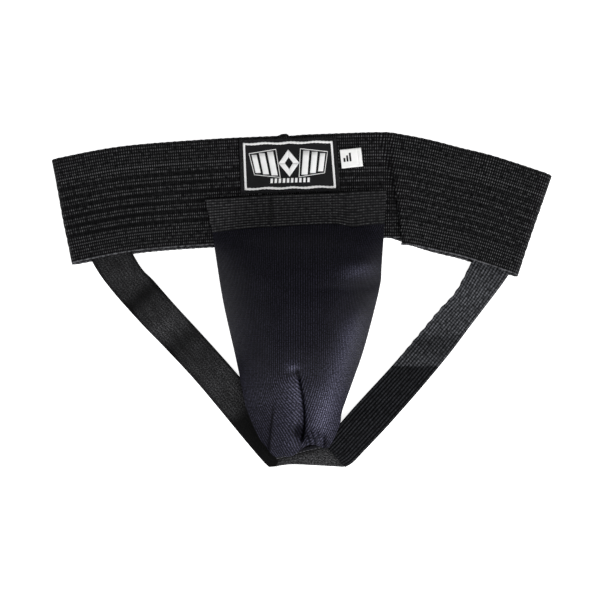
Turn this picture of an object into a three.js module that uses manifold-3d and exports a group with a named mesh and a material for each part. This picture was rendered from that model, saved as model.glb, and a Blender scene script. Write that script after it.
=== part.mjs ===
// Groin protector: a hard cup in a knitted pouch, held by an elastic waistband and two leg straps.
// It lies flat on its back, front up. Millimetres; +X to the right, +Y to the waist, +Z up off the table.
import * as THREE from "three";
import { mergeVertices } from "three/addons/utils/BufferGeometryUtils.js";
import Module from "manifold-3d";

const wasm = await Module();
wasm.setup();

// Driving dimensions
const seamGap = 0.3; // clearance between pieces that lie on each other
const bandHeight = 75;
const bandThickness = 1.8;
const bandStack = 11.3; // table to the top of the waistband's front layer
const bandBackDrop = 1.8; // the back layer hangs this much lower than the front
const bandLapEnd = 8; // where the outer end of the strip stops, at the centre front
const bandLapStart = -30; // where the inner end stops, under the outer one
const bandLapRamp = 9; // length over which the inner end dips under
const bandStep = 9; // longest straight facet along the strip
const foldSteps = 8; // facets round each folded end
const strapThickness = 1.3;
const labelWidth = 70;
const labelHeight = 38.5;
const labelThickness = 0.9;
const labelTurn = 0.04; // radians, the label follows the band's slope
const threadSize = 0.5;
const tagWidth = 17;
const tagHeight = 13.5;
const tagThickness = 1;
const tagTurn = 0.11;
const knitThickness = 1.2;
const backThickness = 0.9;
const elasticThickness = 1.3;
const pouchTopLevel = 12.5; // upper face of the back panel where it lies on the waistband
const pouchToeLevel = 4.3; // and at the bottom of the pouch
const pouchTopY = 40;
const pouchToeY = -105;
const pouchCrown = 2.8; // how square the pouch is across: the exponent of its cross-section
const cupCentre = new THREE.Vector3(-1.5, -12, 9.9);
const cupHalfLength = 58;
const cupHalfWidth = 42; // at the centre; the taper makes it wider above and narrower below
const cupTaper = 0.4;
const cupSquareness = 2.4;
const cupDepth = 36;
const cupWall = 2.4;
const cupFlange = 4; // width of the flat lip round the cup's open side
const cushionHeight = 4;
const cushionWidth = 7;
const ventRadius = 3;
const cupFacets = 44;

const slope = (pouchTopLevel - pouchToeLevel) / (pouchTopY - pouchToeY);

// Materials
function finish(color, roughness, metalness = 0) {
  return new THREE.MeshStandardMaterial({ color, roughness, metalness });
}
const bandElastic = finish(0x1a1a1b, 0.9);
const strapElastic = finish(0x222224, 0.85);
const mouthRib = finish(0x262627, 0.85);
const knit = finish(0x1c1c25, 0.8);
const meshBack = finish(0x17171a, 0.9);
const labelSatin = finish(0x0d0d0e, 0.6);
const tagSatin = finish(0xeeeeee, 0.7);
const thread = finish(0x2b2b2d, 0.8);
const cupPlastic = finish(0xd9d9d4, 0.45);
const cushionRubber = finish(0x2d2d30, 0.75);

const part = new THREE.Group();

function addMesh(name, geometry, material, parent = part) {
  const mesh = new THREE.Mesh(geometry, material);
  mesh.name = name;
  parent.add(mesh);
  return mesh;
}

function curve(points) {
  return new THREE.SplineCurve(points.map(([x, y]) => new THREE.Vector2(x, y)));
}

// A thin slab: a box whose corners are moved. place gets the share along (0 to 1), the share
// across (0 to 1) and the share through the thickness (0 below, 1 above).
function slab(alongSteps, acrossSteps, place) {
  const box = new THREE.BoxGeometry(1, 1, 1, alongSteps, acrossSteps, 1);
  box.deleteAttribute("normal");
  box.deleteAttribute("uv");
  const welded = mergeVertices(box);
  const corners = welded.attributes.position;
  for (let i = 0; i < corners.count; i++) {
    const moved = place(corners.getX(i) + 0.5, corners.getY(i) + 0.5, corners.getZ(i) + 0.5);
    corners.setXYZ(i, moved.x, moved.y, moved.z);
  }
  welded.computeVertexNormals();
  return welded;
}

// A slab stretched between two edge curves, lying at the height that level(x, y, across) gives.
function ruledSlab(edgeA, edgeB, alongSteps, acrossSteps, thickness, level) {
  return slab(alongSteps, acrossSteps, (along, across, up) => {
    const spot = edgeA.getPointAt(along).lerp(edgeB.getPointAt(along), across);
    const height = level(spot.x, spot.y, across) + up * thickness;
    return new THREE.Vector3(spot.x, spot.y, height);
  });
}

function solid(geometry) {
  const bare = geometry.clone();
  bare.deleteAttribute("normal");
  bare.deleteAttribute("uv");
  const welded = mergeVertices(bare, 1e-3);
  const vertProperties = new Float32Array(welded.attributes.position.array);
  const triVerts = new Uint32Array(welded.index.array);
  return new wasm.Manifold(new wasm.Mesh({ numProp: 3, vertProperties, triVerts }));
}

function geometryOf(manifold) {
  const mesh = manifold.getMesh();
  const geometry = new THREE.BufferGeometry();
  geometry.setAttribute("position", new THREE.BufferAttribute(mesh.vertProperties, 3));
  geometry.setIndex(new THREE.BufferAttribute(mesh.triVerts, 1));
  geometry.computeVertexNormals();
  return geometry;
}

// The waistband's middle line as it lies, from the left fold to the right one.
const bandLine = curve([
  [-170, 62.5],
  [-122, 71.4],
  [-61, 76.3],
  [0, 79.2],
  [45, 80.6],
  [82, 76.6],
  [104, 70.6],
  [166, 52.2],
]);
const bandLength = bandLine.getLength();
const bandStart = -170; // distances along the band are counted so that 0 is near the centre front

// A point of the band: distance along it, height across it from its middle line, and level.
function onBand(distance, across, level) {
  const share = THREE.MathUtils.clamp((distance - bandStart) / bandLength, 0, 1);
  const middle = bandLine.getPointAt(share);
  const tangent = bandLine.getTangentAt(share);
  const drop = bandBackDrop * (1 - THREE.MathUtils.clamp(level / bandStack, 0, 1));
  const height = across - drop;
  return new THREE.Vector3(middle.x - tangent.y * height, middle.y + tangent.x * height, level);
}

// The strip's own path seen from its edge: over the front, round the left fold, along the back,
// round the right fold and under its own end.
function bandPath() {
  const half = bandThickness / 2;
  const foldRadius = bandStack / 2 - half;
  const middle = bandStack / 2;
  const left = bandStart + bandStack / 2;
  const right = bandStart + bandLength - bandStack / 2;
  const front = bandStack - half;
  const under = front - bandThickness - seamGap;
  const path = new THREE.Path();
  path.moveTo(bandLapEnd, front);
  path.lineTo(left, front);
  path.absarc(left, middle, foldRadius, Math.PI / 2, 1.5 * Math.PI, false);
  path.lineTo(right, half);
  path.absarc(right, middle, foldRadius, -Math.PI / 2, Math.PI / 2, false);
  path.lineTo(bandLapEnd + 1 + bandLapRamp, front);
  path.lineTo(bandLapEnd + 1, under);
  path.lineTo(bandLapStart, under);
  return path;
}

function waistband() {
  const stations = [];
  for (const piece of bandPath().curves) {
    const steps = piece.isEllipseCurve ? foldSteps : Math.ceil(piece.getLength() / bandStep);
    for (let i = 0; i < steps; i++) {
      const share = i / steps;
      stations.push({ spot: piece.getPointAt(share), way: piece.getTangentAt(share) });
    }
    stations.last = { spot: piece.getPointAt(1), way: piece.getTangentAt(1) };
  }
  stations.push(stations.last);
  const steps = stations.length - 1;
  return slab(steps, 1, (along, across, up) => {
    const { spot, way } = stations[Math.round(along * steps)];
    const off = (up - 0.5) * bandThickness;
    return onBand(spot.x + way.y * off, (0.5 - across) * bandHeight, spot.y - way.x * off);
  });
}

// Height of the back panel's upper face: flat on the waistband, then sloping to the toe.
function backLevel(y) {
  return pouchTopLevel - slope * Math.max(0, pouchTopY - y);
}

// How high the knit front rises over the back panel along the middle of the pouch.
const pouchRise = curve([
  [-113, 2.5],
  [-105, 4],
  [-90, 8],
  [-75, 14.5],
  [-60, 26],
  [-36, 39],
  [-12, 42],
  [0, 41.3],
  [20, 36.8],
  [35, 27.5],
  [44, 17],
  [50, 9],
  [56, 5],
  [66, 2.5],
  [80, 1.5],
]);
const risePoints = pouchRise.getPoints(160);

function riseAt(y) {
  const next = risePoints.findIndex((spot) => spot.x > y);
  if (next <= 0) return risePoints[next === 0 ? 0 : risePoints.length - 1].y;
  const before = risePoints[next - 1];
  const after = risePoints[next];
  return THREE.MathUtils.mapLinear(y, before.x, after.x, before.y, after.y);
}

// The underside of the pouch's front where the share across runs from 0 to 1 between its sides.
function frontLevel(x, y, across) {
  const crown = 1 - Math.abs(2 * across - 1) ** pouchCrown;
  return backLevel(y) + seamGap + riseAt(y) * crown;
}

const pouchLeft = curve([
  [-61, 47.6],
  [-58.6, 33],
  [-53.2, -1],
  [-45.5, -36],
  [-41.2, -56],
  [-36.8, -77],
  [-30.6, -92],
  [-24.8, -101.5],
  [-18.5, -108.2],
]);
const pouchRight = curve([
  [57.8, 53.2],
  [56.8, 40],
  [54.8, 12.5],
  [50.4, -7],
  [42.6, -36],
  [35.5, -56.5],
  [27.8, -79],
  [24.8, -93],
  [19.5, -101],
]);

function pouchFront() {
  return ruledSlab(pouchLeft, pouchRight, 26, 16, knitThickness, frontLevel);
}

function pouchBack() {
  const left = curve([
    [-59, 51],
    [-56.6, 33],
    [-51.2, -1],
    [-43.5, -36],
    [-34.8, -77],
    [-23, -100.5],
    [-18, -106.4],
  ]);
  const right = curve([
    [56, 51],
    [54.8, 33],
    [50.5, 0],
    [40.6, -36],
    [26, -78],
    [22, -93],
    [17.5, -99.6],
  ]);
  return ruledSlab(left, right, 22, 8, backThickness, (x, y) => backLevel(y) - backThickness);
}

const mouthTop = curve([
  [-67, 70.8],
  [-22, 73.2],
  [20.6, 74.8],
  [59, 77],
]);
const mouthBottom = curve([
  [-61.4, 48],
  [-22, 51.2],
  [20.6, 53.3],
  [58.2, 53.9],
]);

// The elastic goes from the knit's top edge down onto the waistband's face at its side ends.
function mouthLevel(x, y) {
  const across = THREE.MathUtils.clamp((x + 62) / 121, 0, 1);
  return frontLevel(x, y, across) + 2 * seamGap;
}

function mouthElastic() {
  return ruledSlab(mouthBottom, mouthTop, 24, 4, elasticThickness, mouthLevel);
}

// A short row of thread along a line, lying on whatever level gives.
function threadRow(spots, width, steps, level) {
  const line = curve(spots);
  return slab(steps, 1, (along, across, up) => {
    const spot = line.getPointAt(along);
    const way = line.getTangentAt(along);
    const off = (across - 0.5) * width;
    const x = spot.x - way.y * off;
    const y = spot.y + way.x * off;
    return new THREE.Vector3(x, y, level(x, y) + up * threadSize);
  });
}

const onElastic = (x, y) => mouthLevel(x, y) + elasticThickness + seamGap;

function onKnit(x, y) {
  const across = THREE.MathUtils.clamp((x + 24) / 46, 0.02, 0.98);
  return frontLevel(x, y, across) + knitThickness + 3 * seamGap;
}

function sideSeam(side) {
  const edge = side < 0 ? pouchLeft : pouchRight;
  const width = 1.2;
  const height = 1.6;
  return slab(30, 1, (along, across, up) => {
    const spot = edge.getPointAt(along * 0.985);
    const x = spot.x + side * seamGap + (side < 0 ? across - 1 : across) * width;
    return new THREE.Vector3(x, spot.y, backLevel(spot.y) - backThickness + seamGap + up * height);
  });
}

function bottomHem() {
  const lower = curve([
    [-18, -112],
    [-9, -110],
    [0, -107],
    [11, -104.6],
    [19.5, -103.6],
  ]);
  const upper = curve([
    [-18.2, -108.8],
    [-9, -107],
    [0, -105],
    [11, -103],
    [19.4, -101.4],
  ]);
  return ruledSlab(lower, upper, 10, 1, 1.8, (x, y) => backLevel(y) - backThickness + seamGap);
}

const ramp = (value, from, to) => THREE.MathUtils.smoothstep(value, from, to);
const insideBand = bandThickness + seamGap; // a strap's level between the waistband's layers

function leftStrap() {
  const outer = curve([
    [-154, 44],
    [-147.7, 26.2],
    [-135.6, 8.2],
    [-114.3, -16],
    [-93.7, -37.3],
    [-71, -62.1],
    [-36.9, -103.3],
    [-22, -118.6],
  ]);
  const inner = curve([
    [-131, 54],
    [-119.3, 32.3],
    [-112.2, 21],
    [-88.8, -4.6],
    [-72.4, -22.4],
    [-58.9, -37.3],
    [-44, -54.3],
    [-12.2, -92.8],
  ]);
  const level = (x, y) => insideBand * ramp(y, 8, 24);
  return ruledSlab(outer, inner, 28, 1, strapThickness, level);
}

function rightStrap() {
  const inner = curve([
    [129, 42],
    [121.4, 27.3],
    [110, 6],
    [84.5, -23.8],
    [64.6, -47.2],
    [40.5, -73.5],
    [15.6, -101.9],
  ]);
  const outer = curve([
    [151, 27],
    [147, 17.4],
    [136.3, 2.5],
    [120, -18.8],
    [84.5, -63.5],
    [62.5, -88.4],
    [36.6, -115.6],
    [31.2, -118.9],
  ]);
  const level = (x, y) => insideBand * ramp(y, -6, 12) + (strapThickness + seamGap) * ramp(-y, 74, 88);
  return ruledSlab(inner, outer, 30, 1, strapThickness, level);
}

function strapBridge() {
  const lower = curve([
    [-21.3, -118.9],
    [-7.1, -117.4],
    [11.4, -118],
    [31.2, -118.9],
  ]);
  const upper = curve([
    [-11.6, -93],
    [0, -92.5],
    [16, -93],
    [31, -93],
  ]);
  return ruledSlab(lower, upper, 8, 1, strapThickness, () => 0);
}

// Zigzag stitches that hold a strap's end on the inside of the back layer.
function strapTack(spots) {
  return threadRow(spots, 2.4, 4, () => insideBand + strapThickness + seamGap);
}

const labelCentre = onBand(-8.4, 15.6, bandStack + seamGap);

function turnedBox(width, height, depth, centre, turn) {
  const box = new THREE.BoxGeometry(width, height, depth);
  box.translate(0, 0, depth / 2);
  box.rotateZ(turn);
  box.translate(centre.x, centre.y, centre.z);
  return box;
}

function labelStitching() {
  const inset = 1.1;
  const outline = new THREE.Shape();
  const halfWidth = labelWidth / 2 - inset;
  const halfHeight = labelHeight / 2 - inset;
  outline.moveTo(-halfWidth, -halfHeight);
  outline.lineTo(halfWidth, -halfHeight);
  outline.lineTo(halfWidth, halfHeight);
  outline.lineTo(-halfWidth, halfHeight);
  const opening = new THREE.Path();
  const innerWidth = halfWidth - threadSize;
  const innerHeight = halfHeight - threadSize;
  opening.moveTo(-innerWidth, -innerHeight);
  opening.lineTo(-innerWidth, innerHeight);
  opening.lineTo(innerWidth, innerHeight);
  opening.lineTo(innerWidth, -innerHeight);
  outline.holes.push(opening);
  const ring = new THREE.ExtrudeGeometry(outline, { depth: threadSize, bevelEnabled: false });
  ring.rotateZ(labelTurn);
  ring.translate(labelCentre.x, labelCentre.y, labelCentre.z + labelThickness + seamGap);
  return ring;
}

// The cup in its own frame: origin at the middle of its rim, +Z out of the dome.
function cupReach(angle) {
  const halfWidth = cupHalfWidth * (1 + cupTaper * Math.sin(angle));
  const sideways = (Math.abs(Math.cos(angle)) / halfWidth) ** cupSquareness;
  const lengthways = (Math.abs(Math.sin(angle)) / cupHalfLength) ** cupSquareness;
  return (sideways + lengthways) ** (-1 / cupSquareness);
}

function domeHeight(share) {
  return (1 - share ** 2.2) ** 0.588;
}

// Turns a round piece of radius 1 into the cup's outline.
function toCupOutline(geometry) {
  const bare = geometry.clone();
  bare.deleteAttribute("normal");
  bare.deleteAttribute("uv");
  const welded = mergeVertices(bare, 1e-5);
  const corners = welded.attributes.position;
  for (let i = 0; i < corners.count; i++) {
    const x = corners.getX(i);
    const y = -corners.getZ(i);
    const reach = cupReach(Math.atan2(y, x));
    corners.setXYZ(i, x * reach, y * reach, corners.getY(i));
  }
  return welded;
}

function cupShell() {
  const seat = cushionHeight + seamGap;
  const innerShare = 1 - cupWall / cupHalfWidth;
  const flangeShare = 1 - cupFlange / cupHalfWidth;
  const profile = [];
  const rings = 9;
  for (let i = 0; i <= rings; i++) {
    const share = Math.sin((i / rings) * (Math.PI / 2)) * flangeShare;
    profile.push(new THREE.Vector2(share, seat + cupWall + domeHeight(share / flangeShare) * (cupDepth - cupWall)));
  }
  profile.push(new THREE.Vector2(1, seat + cupWall));
  profile.push(new THREE.Vector2(1, seat));
  for (let i = rings; i >= 0; i--) {
    const share = Math.sin((i / rings) * (Math.PI / 2)) * (flangeShare + innerShare - 1);
    const height = domeHeight(share / (flangeShare + innerShare - 1)) * (cupDepth - 2 * cupWall);
    profile.push(new THREE.Vector2(share, seat + height));
  }
  profile.reverse();
  let shell = solid(toCupOutline(new THREE.LatheGeometry(profile, cupFacets)));
  for (const [row, count] of [[-14, 3], [6, 4], [24, 3]]) {
    for (let i = 0; i < count; i++) {
      const vent = new THREE.CylinderGeometry(ventRadius, ventRadius, 2 * cupDepth, 14);
      vent.rotateX(Math.PI / 2);
      vent.translate((i - (count - 1) / 2) * 4.2 * ventRadius, row, cupDepth);
      shell = shell.subtract(solid(vent));
    }
  }
  return geometryOf(shell);
}

function cupCushion() {
  const inner = 1 - cushionWidth / cupHalfWidth;
  const profile = [
    new THREE.Vector2(inner, 0.8),
    new THREE.Vector2(inner + 0.03, 0),
    new THREE.Vector2(0.99, 0),
    new THREE.Vector2(1.02, 0.8),
    new THREE.Vector2(1.02, cushionHeight),
    new THREE.Vector2(inner, cushionHeight),
    new THREE.Vector2(inner, 0.8),
  ];
  return toCupOutline(new THREE.LatheGeometry(profile, cupFacets));
}

addMesh("waistband", waistband(), bandElastic);
addMesh("woven_label", turnedBox(labelWidth, labelHeight, labelThickness, labelCentre, labelTurn), labelSatin);
addMesh("label_stitching", labelStitching(), thread);

const tagHinge = new THREE.Vector3(26.9, 99.1, bandStack + seamGap);
const tagCentre = tagHinge.clone();
tagCentre.x += (tagWidth / 2) * Math.cos(tagTurn);
tagCentre.y += (tagWidth / 2) * Math.sin(tagTurn);
addMesh("size_tag", turnedBox(tagWidth - 2 * seamGap, tagHeight, tagThickness, tagCentre, tagTurn), tagSatin);

addMesh("pouch_front", pouchFront(), knit);
addMesh("pouch_back", pouchBack(), meshBack);
addMesh("mouth_elastic", mouthElastic(), mouthRib);
addMesh("mouth_tack_left", threadRow([[-21.5, 70], [-21.3, 53]], 1.2, 6, onElastic), thread);
addMesh("mouth_tack_right", threadRow([[20.6, 73], [20.6, 55.5]], 1.2, 6, onElastic), thread);
addMesh("side_seam_left", sideSeam(-1), thread);
addMesh("side_seam_right", sideSeam(1), thread);
addMesh("dart_seam", threadRow([[-1.7, -54], [1.6, -70], [2.8, -85], [1.6, -98]], 1.4, 14, onKnit), thread);
addMesh("bottom_hem", bottomHem(), knit);
const joinLevel = () => pouchTopLevel + seamGap;
addMesh("pouch_join_seam", threadRow([[-46, 48.8], [46, 48.8]], 1.2, 12, joinLevel), thread);

addMesh("leg_strap_left", leftStrap(), strapElastic);
addMesh("leg_strap_right", rightStrap(), strapElastic);
addMesh("strap_bridge", strapBridge(), strapElastic);
addMesh("strap_tack_left", strapTack([[-148, 42], [-130, 49]]), thread);
addMesh("strap_tack_right", strapTack([[130.5, 36], [147, 27]]), thread);

const cup = new THREE.Group();
cup.position.copy(cupCentre);
cup.rotation.x = Math.atan(slope);
part.add(cup);
addMesh("cup_shell", cupShell(), cupPlastic, cup);
addMesh("cup_cushion", cupCushion(), cushionRubber, cup);

// The origin is the middle of the footprint, on the table.
const whole = new THREE.Box3().setFromObject(part);
const middle = whole.getCenter(new THREE.Vector3());
part.position.set(-middle.x, -middle.y, -whole.min.z);

export default part;
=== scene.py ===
import math

import bmesh
import bpy
import numpy as np
from mathutils import Matrix, Vector, noise


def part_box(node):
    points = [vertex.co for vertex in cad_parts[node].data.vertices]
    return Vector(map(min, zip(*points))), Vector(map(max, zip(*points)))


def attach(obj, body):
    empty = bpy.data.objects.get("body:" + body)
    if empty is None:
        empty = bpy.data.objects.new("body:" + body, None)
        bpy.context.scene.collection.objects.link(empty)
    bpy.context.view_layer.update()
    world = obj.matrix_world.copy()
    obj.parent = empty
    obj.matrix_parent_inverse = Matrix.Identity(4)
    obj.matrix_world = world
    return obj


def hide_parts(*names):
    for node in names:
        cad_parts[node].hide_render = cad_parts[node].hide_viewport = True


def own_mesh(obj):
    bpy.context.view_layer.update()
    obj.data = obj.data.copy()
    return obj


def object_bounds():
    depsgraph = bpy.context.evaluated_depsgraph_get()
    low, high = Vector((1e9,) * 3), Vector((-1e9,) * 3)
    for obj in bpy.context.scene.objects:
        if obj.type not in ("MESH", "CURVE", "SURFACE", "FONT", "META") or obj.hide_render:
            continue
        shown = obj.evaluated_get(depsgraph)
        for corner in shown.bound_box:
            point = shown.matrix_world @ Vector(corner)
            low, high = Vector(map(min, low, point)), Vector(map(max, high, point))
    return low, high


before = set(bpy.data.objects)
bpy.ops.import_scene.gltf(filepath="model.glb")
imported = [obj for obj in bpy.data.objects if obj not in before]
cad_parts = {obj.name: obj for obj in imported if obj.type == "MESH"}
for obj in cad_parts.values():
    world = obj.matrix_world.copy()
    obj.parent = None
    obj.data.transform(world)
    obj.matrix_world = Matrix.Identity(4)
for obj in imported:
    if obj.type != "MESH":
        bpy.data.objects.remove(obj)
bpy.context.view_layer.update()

# A groin protector laid flat on its back: knitted pouch over a hard cup, waistband, two leg straps.
# Outlines are in the drawing's own millimetres; drawing() moves them onto the shared frame.
mm = 0.001
pouchCorner = (-61, -108.2, 4.42)  # the pouch front's lowest corner in the drawing
shift = np.array(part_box("pouch_front")[0]) - np.array(pouchCorner) * mm


def drawing(places):
    return np.asarray(places, float) * mm + shift


def linear(hexColour):
    parts = [int(hexColour[i:i + 2], 16) / 255 for i in (1, 3, 5)]
    return tuple(p / 12.92 if p <= 0.04045 else ((p + 0.055) / 1.055) ** 2.4 for p in parts) + (1.0,)


def ramp(value, start, end):
    share = np.clip((np.asarray(value, float) - start) / (end - start), 0, 1)
    return share * share * (3 - 2 * share)


def hump(value, middle, spread):
    return np.exp(-(((value - middle) / spread) ** 2))


def grain(x, y, size, seed=0.0):
    # smooth noise from -1 to 1 with features about size mm across
    return np.array([noise.noise(Vector((a / size, b / size, seed))) for a, b in zip(x, y)])


# lines

def evenLine(points):
    # a function of the share along the points, evenly spaced by length, and the length itself
    line = np.array(points, float)
    steps = np.linalg.norm(np.diff(line, axis=0), axis=1)
    length = np.concatenate([[0], np.cumsum(steps)])

    def at(share):
        gone = np.clip(share, 0, 1) * length[-1]
        return np.stack([np.interp(gone, length, line[:, i]) for i in range(line.shape[1])], -1)

    return at, length[-1]


def smoothLine(points, perPiece=24):
    p = np.array([points[0], *points, points[-1]], float)
    t = np.linspace(0, 1, perPiece, endpoint=False)[:, None]
    pieces = []
    for a, b, c, d in zip(p, p[1:], p[2:], p[3:]):
        bend = (2 * a - 5 * b + 4 * c - d) * t ** 2 + (3 * b - a - 3 * c + d) * t ** 3
        pieces.append(b + ((c - a) * t + bend) / 2)
    return evenLine(np.vstack([*pieces, p[-1:]]))


def heading(line, share):
    # unit direction of the line at each share of its length
    step = 0.002
    share = np.clip(share, step, 1 - step)
    way = line(share + step) - line(share - step)
    return way / np.linalg.norm(way, axis=-1, keepdims=True)


# mesh makers

def finishMesh(name, bm, material):
    mesh = bpy.data.meshes.new(name)
    bm.to_mesh(mesh)
    bm.free()
    mesh.shade_smooth()
    mesh.materials.append(material)
    piece = bpy.data.objects.new(name, mesh)
    bpy.context.scene.collection.objects.link(piece)
    return piece


def setVerts(mesh, places):
    mesh.vertices.foreach_set("co", np.asarray(places, np.float32).ravel())
    mesh.update()


def getVerts(mesh):
    flat = np.empty(len(mesh.vertices) * 3)
    mesh.vertices.foreach_get("co", flat)
    return flat.reshape(-1, 3)


def setCloth(mesh, cloth):
    # the cloth's own coordinates in metres, as the UV map that its weave follows
    corner = np.empty(len(mesh.loops), int)
    mesh.loops.foreach_get("vertex_index", corner)
    layer = mesh.uv_layers.get("cloth") or mesh.uv_layers.new(name="cloth")
    layer.uv.foreach_set("vector", (np.asarray(cloth)[corner] * mm).astype(np.float32).ravel())


def setTone(mesh, tone):
    layer = mesh.attributes.new("tone", "FLOAT", "POINT")
    layer.data.foreach_set("value", np.asarray(tone, np.float32))


def addWall(piece, thick):
    wall = piece.modifiers.new("wall", "SOLIDIFY")
    wall.thickness = thick * mm
    wall.offset = 0


def layCloth(name, columns, rows, spot, thick, material):
    # a grid whose corners are laid by spot(along, across), which gives places, cloth and tone
    bm = bmesh.new()
    bmesh.ops.create_grid(bm, x_segments=columns, y_segments=rows, size=0.5)
    piece = finishMesh(name, bm, material)
    share = getVerts(piece.data)[:, :2] + 0.5
    places, cloth, tone = spot(share[:, 0], share[:, 1])
    setVerts(piece.data, drawing(places))
    setCloth(piece.data, cloth)
    setTone(piece.data, np.broadcast_to(tone, len(places)))
    addWall(piece, thick)
    return piece


def sewRow(name, rows, material, long=2.2, gap=0.9, thick=0.42, lean=0.0):
    # stitches like grains of rice along rows of 3-D points in mm; lean turns each across its row
    bm = bmesh.new()
    for row in rows:
        line, length = evenLine(row)
        count = max(1, round(length / (long + gap)))
        for i in range(count):
            share = (i + 0.5) / count
            way = Vector(heading(line, share))
            turn = way.to_track_quat("X", "Z").to_matrix().to_4x4() @ Matrix.Rotation(lean, 4, "Z")
            size = Matrix.Diagonal((long / 2 * mm, thick / 2 * mm, thick / 2 * mm, 1))
            spot = Matrix.Translation(drawing(line(share)))
            bmesh.ops.create_uvsphere(bm, u_segments=6, v_segments=5, radius=1,
                                      matrix=spot @ turn @ size)
    return finishMesh(name, bm, material)


def sweepBead(name, points, across, up, material, steps=120, sides=10):
    # a bead along 3-D points in mm, closed to a point at both ends
    line, length = smoothLine(points)
    bm = bmesh.new()
    bmesh.ops.create_grid(bm, x_segments=steps, y_segments=sides, size=0.5)
    piece = finishMesh(name, bm, material)
    share = getVerts(piece.data)[:, :2] + 0.5
    angle = share[:, 1] * 2 * math.pi
    way = heading(line, share[:, 0])
    side = np.stack([-way[:, 1], way[:, 0], np.zeros(len(way))], -1)
    full = np.sqrt(np.clip(1 - np.abs(2 * share[:, 0] - 1) ** 24, 0, 1))
    places = line(share[:, 0]) + side * (np.cos(angle) * across * full)[:, None]
    places[:, 2] += np.sin(angle) * up * full
    setVerts(piece.data, drawing(places))
    setCloth(piece.data, np.stack([share[:, 0] * length, share[:, 1] * 6], -1))
    setTone(piece.data, np.zeros(len(places)))
    bm = bmesh.new()
    bm.from_mesh(piece.data)
    bmesh.ops.remove_doubles(bm, verts=bm.verts, dist=2e-5)
    bmesh.ops.recalc_face_normals(bm, faces=bm.faces)
    bm.to_mesh(piece.data)
    bm.free()
    piece.data.shade_smooth()
    return piece


# materials

def addNode(tree, kind, links=None, **settings):
    # one node with its settings; a link is another node, one of its sockets, or a plain value
    node = tree.nodes.new("ShaderNode" + kind)
    for key, value in settings.items():
        setattr(node, key, value)
    for key, value in (links or {}).items():
        if isinstance(value, bpy.types.Node):
            value = value.outputs[0]
        if isinstance(value, bpy.types.NodeSocket):
            tree.links.new(value, node.inputs[key])
        else:
            node.inputs[key].default_value = value
    return node


def newMaterial(name, roughness, specular, sheen=0.0, sheenRoughness=0.4, sheenTint="#ffffff"):
    material = bpy.data.materials.new(name)
    material.use_nodes = True
    tree = material.node_tree
    tree.nodes.clear()
    shader = addNode(tree, "BsdfPrincipled", {
        "Roughness": roughness, "Specular IOR Level": specular, "Sheen Weight": sheen,
        "Sheen Roughness": sheenRoughness, "Sheen Tint": linear(sheenTint)})
    addNode(tree, "OutputMaterial", {"Surface": shader})
    return material, tree, shader


def clothAxes(tree):
    cloth = addNode(tree, "UVMap", uv_map="cloth")
    return cloth, addNode(tree, "SeparateXYZ", {0: cloth})


def stripes(tree, source, pitch, sharpness=1.0, phase=0.0):
    # soft stripes from 0 to 1 every pitch mm along one of the cloth's axes
    perMetre = 2 * math.pi / (pitch * mm)
    turns = addNode(tree, "Math", {0: source, 1: perMetre, 2: phase}, operation="MULTIPLY_ADD")
    wave = addNode(tree, "Math", {0: turns}, operation="SINE")
    lifted = addNode(tree, "Math", {0: wave, 1: 0.5, 2: 0.5}, operation="MULTIPLY_ADD")
    return addNode(tree, "Math", {0: lifted, 1: sharpness}, operation="POWER")


def speckle(tree, cloth, size, low, high, stretch=(1, 1, 1)):
    # noise with features of size mm, pushed to 0 below low and 1 above high
    mapped = addNode(tree, "Mapping", {"Vector": cloth, "Scale": stretch})
    cloud = addNode(tree, "TexNoise", {"Vector": mapped, "Scale": 1 / (size * mm), "Detail": 2.0})
    return addNode(tree, "MapRange", {"Value": cloud, "From Min": low, "From Max": high})


def lineAt(tree, axis, where, width):
    # 1 on a line where mm along an axis, width mm wide, and 0 elsewhere
    away = addNode(tree, "Math", {0: axis, 1: -where * mm}, operation="ADD")
    off = addNode(tree, "Math", {0: away}, operation="ABSOLUTE")
    solid = 0.4 * width
    return addNode(tree, "MapRange", {"Value": off, "From Min": width * mm, "From Max": solid * mm})


def blendColour(tree, share, low, high):
    ends = {}
    for key, value in ((6, low), (7, high)):
        ends[key] = linear(value) if isinstance(value, str) else value
    mixed = addNode(tree, "Mix", {0: share, **ends}, data_type="RGBA")
    return mixed.outputs[2]


def dent(tree, shader, height, depth):
    bump = addNode(tree, "Bump", {"Height": height, "Distance": depth * mm, "Strength": 1.0})
    tree.links.new(bump.outputs[0], shader.inputs["Normal"])


bandLook = {
    "ground": "#060607",
    "thread": "#717173",
    "pickPitch": 1.5,  # mm between the crosswise ticks, 1.3 on the real one and coarser here to show
    "rowsPerChannel": 3,
    "seams": (21.6, -25.6),  # dotted lines at the inner side of each border, mm from the middle
    "selvedge": -36.9,
}


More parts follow.
